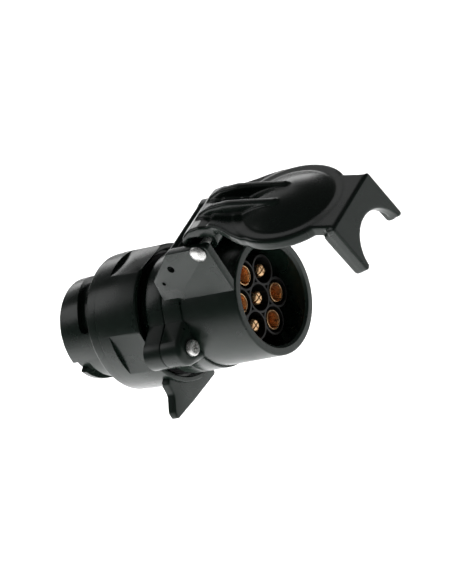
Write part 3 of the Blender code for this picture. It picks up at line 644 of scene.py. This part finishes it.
def gasket_groove():
    box_low, box_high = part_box("lid_gasket")
    outer = (box_high.y - box_low.y) / 2 / MM + GAP
    inner = BORE_R + 0.4 - GAP
    high = LID_UNDER + 1
    low = LID_UNDER - 1.5
    corners = [(outer, high), (outer, low), (inner, low), (inner, high)]
    return lid_turned("gasket_groove", corners, closed=True)


def neck():
    """The lid's arched neck, seen from the side, from the disc to behind the hinge."""
    side = [
        (22.0, LID_UNDER + 1.0),
        (22.0, LID_TOP - 0.6),
        (8.0, 8.8, 4.0),
        (1.0, 8.5, 3.0),
        (-3.5, 7.1, 3.0),
        (-6.8, 4.5, 3.0),
        (-8.4, 1.1, 2.0),
        (-8.2, -0.8, 0.5),
        (-6.6, -0.8, 0.5),
        (-6.2, 1.0),
        (-4.6, 3.6),
        (-1.0, 4.2),
        (7.0, 4.2, 0.8),
        (9.5, LID_UNDER + 0.6),
    ]
    return plate("neck", side, -NECK_HALF, NECK_HALF, ALONG, 0.9)


def flare():
    """The web on both sides of the neck, which widens into the disc."""
    half = NECK_HALF
    side = [
        (5.0, half - 0.6),
        (10.0, half + 0.7, 8.0),
        (13.5, half + 2.5, 8.0),
        (17.6, half + 5.0, 8.0),
        (22.3, half + 7.2, 8.0),
        (27.5, half + 8.2, 8.0),
        (30.0, half - 0.6),
    ]
    corners = side + [(corner[0], -corner[1], *corner[2:]) for corner in reversed(side)]
    return plate("flare", corners, LID_UNDER + 0.4, LID_TOP - 0.3, FLAT, 0.9)


def knuckle(side):
    """An eye on the hinge pin, with a web up to the neck."""
    near, far = sorted((side * 3.6, side * 8.4))
    eye_r = 4.2
    web_half = 3.8
    eye = rod("eye", eye_r, (0, near, 0), (0, far, 0))
    return join(eye, block("web", (-web_half, near, 0), (web_half, far, LID_UNDER + 1)))


def rib(side):
    """A rib that runs over the neck and out onto the dome."""
    middle = -side * 4.8
    half = 1.35
    corners = [
        (-4.4, 4.6),
        (-4.2, 6.6, 1.3),
        (-1.0, 9.7, 4.0),
        (4.0, 12.5, 8.0),
        (12.0, 14.2, 14.0),
        (33.6, 14.9, 1.6),
        (33.6, LID_TOP + 1.0),
        (20.0, LID_UNDER + 2.2),
    ]
    return plate("rib", corners, middle - half, middle + half, ALONG, 0.95)


def shelf():
    """The flat between the disc and the fold."""
    half = 14.6
    start = LID_CENTRE + 13
    end = NOSE_START - 0.4
    corners = [(start, half), (start, -half), (end, -half), (end, half)]
    return plate("shelf", corners, LID_UNDER + 0.05, LID_TOP - 0.05, FLAT, 0.6)


def nose():
    """The fork bent down from the lid's end: a plate with a wide arc cut out, and a wall on each leg."""
    half = 15.6
    length = 20.4
    half_thick = 2.0
    notch_r = 13.4
    notch_centre = 8.3 + notch_r
    low_turn = math.asin((notch_centre - length + 0.8) / notch_r)
    steps = 32
    corners = [(half, 0.0, 0.8), (-half, 0.0, 0.8), (-half, length, 1.0)]
    for i in range(steps + 1):
        turn = low_turn + (math.pi - 2 * low_turn) * i / steps
        corners.append((-notch_r * math.cos(turn), notch_centre - notch_r * math.sin(turn)))
    corners.append((half, length, 1.0))
    down = Vector((math.cos(NOSE_FOLD), 0, -math.sin(NOSE_FOLD)))
    out = Vector((math.sin(NOSE_FOLD), 0, math.cos(NOSE_FOLD)))
    start = Vector((NOSE_START, 0, LID_TOP)) - out * half_thick
    place = Matrix(
        (
            (0, down.x, out.x, start.x),
            (1, down.y, out.y, start.y),
            (0, down.z, out.z, start.z),
            (0, 0, 0, 1),
        )
    )
    body = plate("nose", corners, -half_thick, half_thick, place, 0.45, 2)
    wall = [(1.5, -1.0), (length - 0.3, -1.0), (length - 0.3, -4.4, 1.2), (1.5, -4.8, 1.5)]
    stand = Matrix(
        (
            (down.x, out.x, 0, start.x),
            (down.y, out.y, 1, start.y),
            (down.z, out.z, 0, start.z),
            (0, 0, 0, 1),
        )
    )
    inner = 13.15
    for side in (-1, 1):
        low, high = sorted((side * inner, side * (half - 0.08)))
        join(body, plate("leg_wall", wall, low, high, stand, 0.4, 2))
    return body


def lid(look):
    body = lid_disc()
    join(body, shelf(), nose(), flare(), neck(), knuckle(-1), knuckle(1), rib(-1), rib(1))
    cut(body, lid_hollow(), gasket_groove())
    cut(body, cross_rod("lid_bore", HINGE_BORE_R, Vector((0, 0, 0)), HINGE_WIDTH))
    melt(body, grain=0.3, passes=18)
    body.data.transform(LID_FRAME)
    put(body, look, "lid", "lid", crease=120)


# The contacts and their insert.


def contact_places():
    """The contacts' axes, by kind and in the order of their numbers: one in the middle and six round it."""
    females = [ring_point(angle, CONTACT_PITCH_R, 0) for angle in (0, 180, 120, 300)]
    males = [ring_point(angle, CONTACT_PITCH_R, 0) for angle in (60, 240)]
    return {"female": females, "male": [Vector((0, 0, 0)), *males]}


def socket_insert(look):
    spots = [spot for group in contact_places().values() for spot in group]
    radius = REAR_BORE_R - GAP
    disc = [(0, STEP - GAP), (radius, STEP - GAP, 0.2), (radius, INSERT_BACK), (0, INSERT_BACK)]
    body = turned("insert_moulding", disc)
    for spot in spots:
        start = spot + Vector((INSERT_BACK + 1, 0, 0))
        join(body, rod("cup", CUP_R, start, spot + Vector((INSERT_TOP, 0, 0)), SMALL, 0.2))
    for spot in spots:
        floor = spot + Vector((WELL_FLOOR, 0, 0))
        back = spot + Vector((INSERT_BACK - 1, 0, 0))
        cut(body, rod("well", WELL_R, floor, spot + Vector((INSERT_TOP + 1, 0, 0)), SMALL))
        cut(body, rod("hole", CONTACT_R + 0.25, back, floor + Vector((1, 0, 0)), 32))
    put(body, look, "adapter", "socket_insert")


def contact_tail():
    """A contact's profile from its back on: a stem, and a crimp cup bored from the end."""
    back = INSERT_BACK - 0.6
    stem_r = 1.9
    cup_r = 1.25
    end = back - 6.5
    cup_floor = back - 2.5
    stem = [(CONTACT_R, back), (stem_r, back), (stem_r, end)]
    return stem + [(cup_r, end), (cup_r, cup_floor), (0, cup_floor)]


def female_contact(number, spot, look):
    """A tube with a flared mouth and one slit in its wall, towards the bottom."""
    tip = INSERT_TOP - 0.4
    floor = tip - 15
    bore_r = 3.05
    mouth_r = 3.35
    corners = [
        (0, floor),
        (bore_r, floor),
        (bore_r, tip - 0.6),
        (mouth_r, tip, 0.1),
        (CONTACT_R, tip, 0.25),
        *contact_tail(),
    ]
    body = turned(f"socket_tube_{number}", corners, SMALL)
    cut(body, block("slit", (tip - SLIT_LENGTH, -SLIT_HALF, -5), (tip + 1, SLIT_HALF, 0)))
    body.data.transform(Matrix.Translation(spot))
    put(body, look, "adapter", f"female_contact_{number}")


def male_contact(number, spot, look):
    """A round pin on a wider root, slit into quarters from its tip."""
    tip = INSERT_TOP - 0.3
    root = WELL_FLOOR - 0.5
    pin_r = 2.5
    corners = [(0, tip), (pin_r, tip, 1.5), (pin_r, root), (CONTACT_R, root), *contact_tail()]
    body = turned(f"split_pin_{number}", corners, SMALL, softness=8)
    cut(body, block("slit", (tip - SLIT_LENGTH, -SLIT_HALF, -4), (tip + 1, SLIT_HALF, 4)))
    cut(body, block("slit", (tip - SLIT_LENGTH, -4, -SLIT_HALF), (tip + 1, 4, SLIT_HALF)))
    body.data.transform(Matrix.Translation(spot))
    put(body, look, "adapter", f"male_contact_{number}")


# Fixings.


def housing_screw(name, side, look):
    """A pan-head screw with a cross slot."""
    under = BOSS_FRONT + GAP
    head = under + 1.9
    head_r = 3.0
    shank_r = 1.75
    shank_end = under - 12
    corners = [
        (0, head),
        (head_r, head, 1.3),
        (head_r, under, 0.15),
        (shank_r, under),
        (shank_r, shank_end),
        (0, shank_end - 1),
    ]
    body = turned(f"{name}_fine", corners, SMALL, softness=8)
    slot_half = 0.38
    slot_reach = 1.7
    for turn in (20, 110):
        slot = block("slot", (under + 0.8, -slot_half, -slot_reach), (under + 3, slot_half, slot_reach))
        slot.data.transform(Matrix.Rotation(math.radians(turn), 4, "X"))
        cut(body, slot)
    body.data.transform(Matrix.Translation((0, side * BOSS_OUT, BOSS_UP)))
    put(body, look, "adapter", name)


def hinge_pin(look):
    """A rivet with a domed head on both ears."""
    face = HINGE_WIDTH / 2 + GAP
    head_r = 3.2
    dome = 1.4
    rim = face + 0.2
    pin_r = 1.6
    steps = 8
    corners = [(0, rim + dome)]
    for i in range(1, steps + 1):
        turn = math.radians(90 * i / steps)
        corners.append((head_r * math.sin(turn), rim + dome * math.cos(turn)))
    corners += [(head_r - 0.1, face), (pin_r, face)]
    corners += [(radius, -x) for radius, x in reversed(corners)]
    body = turned("hinge_rivet", corners, SMALL)
    body.data.transform(Matrix.Translation(PIVOT) @ Matrix.Rotation(math.pi / 2, 4, "Z"))
    put(body, look, "adapter", "hinge_pin")


# Materials. Each is procedural, in object space, so that it keeps to its piece in every pose.


class Look:
    """A Principled material and a short way to add nodes to it."""

    def __init__(self, name, colour, roughness, metallic=0.0):
        self.material = bpy.data.materials.new(name)
        self.material.use_nodes = True
        self.nodes = self.material.node_tree.nodes
        self.links = self.material.node_tree.links
        self.shader = self.nodes["Principled BSDF"]
        self.shader.inputs["Base Color"].default_value = (*colour, 1)
        self.shader.inputs["Roughness"].default_value = roughness
        self.shader.inputs["Metallic"].default_value = metallic
        self.place = self.nodes.new("ShaderNodeTexCoord").outputs["Object"]

    def noise(self, scale, detail=4.0, stretch=(1, 1, 1)):
        """A noise over the piece. The scale is in features per metre."""
        mapping = self.nodes.new("ShaderNodeMapping")
        mapping.inputs["Scale"].default_value = stretch
        self.links.new(self.place, mapping.inputs["Vector"])
        node = self.nodes.new("ShaderNodeTexNoise")
        node.inputs["Scale"].default_value = scale
        node.inputs["Detail"].default_value = detail
        self.links.new(mapping.outputs["Vector"], node.inputs["Vector"])
        return node.outputs["Fac"]

    def range(self, value, low, high, start=0.3, end=0.7):
        """Low where the value is at start or under, high where it is at end or over."""
        node = self.nodes.new("ShaderNodeMapRange")
        node.inputs["From Min"].default_value = start
        node.inputs["From Max"].default_value = end
        node.inputs["To Min"].default_value = low
        node.inputs["To Max"].default_value = high
        self.links.new(value, node.inputs["Value"])
        return node.outputs["Result"]

    def mix(self, share, one, other):
        """A colour between two, which are colours or sockets."""
        node = self.nodes.new("ShaderNodeMix")
        node.data_type = "RGBA"
        self.links.new(share, node.inputs["Factor"])
        for end, socket in ((one, node.inputs[6]), (other, node.inputs[7])):
            if isinstance(end, tuple):
                socket.default_value = (*end, 1)
            else:
                self.links.new(end, socket)
        return node.outputs[2]

    def bump(self, height, distance, strength):
        """Adds a bump on top of those before it. The distance is in millimetres."""
        node = self.nodes.new("ShaderNodeBump")
        node.inputs["Distance"].default_value = distance * MM
        node.inputs["Strength"].default_value = strength
        self.links.new(height, node.inputs["Height"])
        normal = self.shader.inputs["Normal"]
        if normal.is_linked:
            self.links.new(normal.links[0].from_socket, node.inputs["Normal"])
        self.links.new(node.outputs["Normal"], normal)

    def feed(self, socket, value):
        """Drives one of the shader's sockets."""
        self.links.new(value, self.shader.inputs[socket])


def black_moulding(name, roughness):
    """Black nylon with a fine eggshell skin, handling marks and a little dust in the marks."""
    look = Look(name, BLACK, roughness)
    skin = look.noise(2600, 2.0)
    flow = look.noise(70, 3.0)
    marks = look.noise(220, 8.0, (1, 1, 3))
    dusty = look.range(marks, 0.0, 0.35, 0.62, 0.8)
    worn = tuple(2.5 * channel for channel in BLACK)
    look.feed("Base Color", look.mix(dusty, BLACK, worn))
    look.feed("Roughness", look.range(flow, roughness - 0.05, roughness + 0.09))
    look.bump(skin, 0.012, 0.5)
    look.bump(flow, 0.04, 0.3)
    look.bump(marks, 0.004, 0.3)
    look.shader.inputs["Specular IOR Level"].default_value = 0.5
    return look.material


def dark_insert():
    look = Look("insert_fine", (0.006, 0.0065, 0.006), 0.5)
    look.feed("Roughness", look.range(look.noise(120), 0.42, 0.6))
    look.bump(look.noise(3000, 2.0), 0.012, 0.5)
    return look.material


def brass():
    """Turned brass: warm, with fine rings from the lathe and patches of tarnish."""
    look = Look("brass_fine", (0.85, 0.5, 0.22), 0.24, 0.88)
    tarnish = look.noise(260, 5.0)
    share = look.range(tarnish, 0.0, 1.0, 0.45, 0.75)
    look.feed("Base Color", look.mix(share, (0.88, 0.56, 0.3), (0.5, 0.27, 0.14)))
    look.feed("Roughness", look.range(tarnish, 0.14, 0.34))
    look.bump(look.noise(900, 2.0, (6, 1, 1)), 0.01, 0.4)
    return look.material


def steel():
    """Bright zinc-plated steel with a faint grain."""
    look = Look("steel_fine", (0.9, 0.9, 0.88), 0.3, 0.7)
    grain = look.noise(500, 5.0)
    share = look.range(grain, 0.0, 1.0)
    look.feed("Base Color", look.mix(share, (0.93, 0.93, 0.91), (0.7, 0.7, 0.68)))
    look.feed("Roughness", look.range(grain, 0.18, 0.38))
    look.bump(grain, 0.03, 0.5)
    return look.material


def spring_steel():
    """Blackened spring steel, for the ring that hides in the gap."""
    look = Look("spring_fine", (0.02, 0.02, 0.021), 0.45, 0.8)
    look.feed("Roughness", look.range(look.noise(300), 0.4, 0.6))
    look.bump(look.noise(900, 3.0), 0.01, 0.4)
    return look.material


def rubber():
    look = Look("rubber_fine", (0.014, 0.014, 0.014), 0.75)
    look.feed("Roughness", look.range(look.noise(300), 0.65, 0.85))
    look.bump(look.noise(1800, 4.0), 0.03, 0.6)
    return look.material


def wire_skin(name, colour):
    look = Look(f"{name}_fine", colour, 0.42)
    darker = tuple(0.7 * channel for channel in colour)
    share = look.range(look.noise(150), 0.0, 1.0)
    look.feed("Base Color", look.mix(share, colour, darker))
    look.bump(look.noise(900, 3.0), 0.02, 0.4)
    return look.material


def redress(looks):
    """Gives each CAD node that is still shown its own fine material, or the one for its slot."""
    slots = {row["node"]: row["material_slot"] for row in frame["record"]["subparts"]}
    for name, node in frame["nodes"].items():
        if node.hide_render:
            continue
        node.data.materials.clear()
        node.data.materials.append(looks.get(name, looks[slots[name]]))
        shade(node.data, CREASE)


# The room.


def white_world():
    """A white backdrop for the camera, and a dim room for the gloss to reflect."""
    world = bpy.data.worlds.new("studio")
    bpy.context.scene.world = world
    world.use_nodes = True
    nodes = world.node_tree.nodes
    links = world.node_tree.links
    dim = nodes["Background"]
    dim.inputs["Color"].default_value = (1, 1, 1, 1)
    dim.inputs["Strength"].default_value = 0.06
    backdrop = nodes.new("ShaderNodeBackground")
    backdrop.inputs["Strength"].default_value = 1.0
    seen = nodes.new("ShaderNodeLightPath")
    mix = nodes.new("ShaderNodeMixShader")
    links.new(seen.outputs["Is Camera Ray"], mix.inputs[0])
    links.new(dim.outputs[0], mix.inputs[1])
    links.new(backdrop.outputs[0], mix.inputs[2])
    links.new(mix.outputs[0], nodes["World Output"].inputs["Surface"])


def pale_floor():
    """A wide matt floor under the object."""
    form = bmesh.new()
    bmesh.ops.create_grid(form, x_segments=1, y_segments=1, size=6.0)
    mesh = bpy.data.meshes.new("floor")
    form.to_mesh(mesh)
    form.free()
    floor = bpy.data.objects.new("floor", mesh)
    bpy.context.scene.collection.objects.link(floor)
    floor.location.z = FLOOR
    pale = bpy.data.materials.new("floor_pale")
    pale.use_nodes = True
    shader = pale.node_tree.nodes["Principled BSDF"]
    shader.inputs["Base Color"].default_value = (0.95, 0.95, 0.95, 1)
    shader.inputs["Roughness"].default_value = 0.9
    mesh.materials.append(pale)
    return floor


def panel(name, place, aim, size, power):
    """A soft rectangular lamp at a place, turned to a point."""
    light = bpy.data.lights.new(name, "AREA")
    light.shape = "RECTANGLE"
    light.size, light.size_y = size
    light.energy = power
    obj = bpy.data.objects.new(name, light)
    bpy.context.scene.collection.objects.link(obj)
    obj.location = place
    obj.rotation_euler = (Vector(aim) - Vector(place)).to_track_quat("-Z", "Y").to_euler()
    return obj


def wash(floor):
    """Lights the floor alone, evenly and more on the left, so that it's pale without glare on the gloss."""
    sun = bpy.data.lights.new("even", "SUN")
    sun.energy = 1.9
    sun.angle = math.radians(60)
    even = bpy.data.objects.new("even", sun)
    bpy.context.scene.collection.objects.link(even)
    lit = bpy.data.collections.new("floor_only")
    lit.objects.link(floor)
    left = panel("left", (-0.95, 0.05, 0.45), (-0.75, 0.05, FLOOR), (1.0, 1.2), 22)
    for lamp in (even, left):
        lamp.light_linking.receiver_collection = lit


def camera():
    """A long lens from the near right and above, rolled so that the connector lies across the picture."""
    azimuth = math.radians(45.69)
    height = math.radians(25.92)
    roll = math.radians(33.75)
    distance = 1245
    left_of_mouth = 17.41
    over_mouth = 0.94
    flat = Vector((math.cos(azimuth), -math.sin(azimuth), 0))
    back = math.cos(height) * flat + Vector((0, 0, math.sin(height)))
    level = Vector((math.sin(azimuth), math.cos(azimuth), 0))
    up = back.cross(level)
    right = math.cos(roll) * level - math.sin(roll) * up
    rise = math.sin(roll) * level + math.cos(roll) * up
    aim = Vector((MOUTH, 0, 0)) - left_of_mouth * right + over_mouth * rise
    data = bpy.data.cameras.new("view")
    data.sensor_fit = "VERTICAL"
    data.sensor_height = 36.0
    data.sensor_width = 36.0
    data.lens = 214.77
    data.clip_start = 0.05
    data.clip_end = 20.0
    obj = bpy.data.objects.new("view", data)
    bpy.context.scene.collection.objects.link(obj)
    turn = Matrix((right, rise, back)).transposed().to_4x4()
    obj.matrix_world = Matrix.Translation((aim + distance * back) * MM) @ turn
    bpy.context.scene.camera = obj


def build():
    """Every fine piece, and fine materials on the CAD nodes that stay."""
    black = black_moulding("housing_fine", 0.27)
    ring_black = black_moulding("ring_fine", 0.26)
    lid_black = black_moulding("lid_fine", 0.23)
    looks = {
        "housing_plastic": black,
        "ring_plastic": ring_black,
        "lid_plastic": lid_black,
        "insert_plastic": dark_insert(),
        "rubber": rubber(),
        "brass": brass(),
        "steel": steel(),
        "retaining_ring": spring_steel(),
    }
    for entry in frame["record"]["materials"]:
        if entry["slot"].startswith("wire_"):
            looks[entry["slot"]] = wire_skin(entry["slot"], tuple(entry["base_color"][:3]))
    front_housing(black)
    rear_housing(black)
    grip_ring(ring_black)
    coupling_collar(ring_black)
    lid(lid_black)
    socket_insert(looks["insert_plastic"])
    places = contact_places()
    for number, spot in enumerate(places["female"], 1):
        female_contact(number, spot, looks["brass"])
    for number, spot in enumerate(places["male"], 1):
        male_contact(number, spot, looks["brass"])
    housing_screw("housing_screw_near", -1, looks["steel"])
    housing_screw("housing_screw_far", 1, looks["steel"])
    hinge_pin(looks["steel"])
    redress(looks)


build()
white_world()
wash(pale_floor())
for name, (place, size, power) in LAMPS.items():
    panel(name, place, MIDDLE, size, power)
bpy.context.scene.view_settings.view_transform = "Standard"
camera()
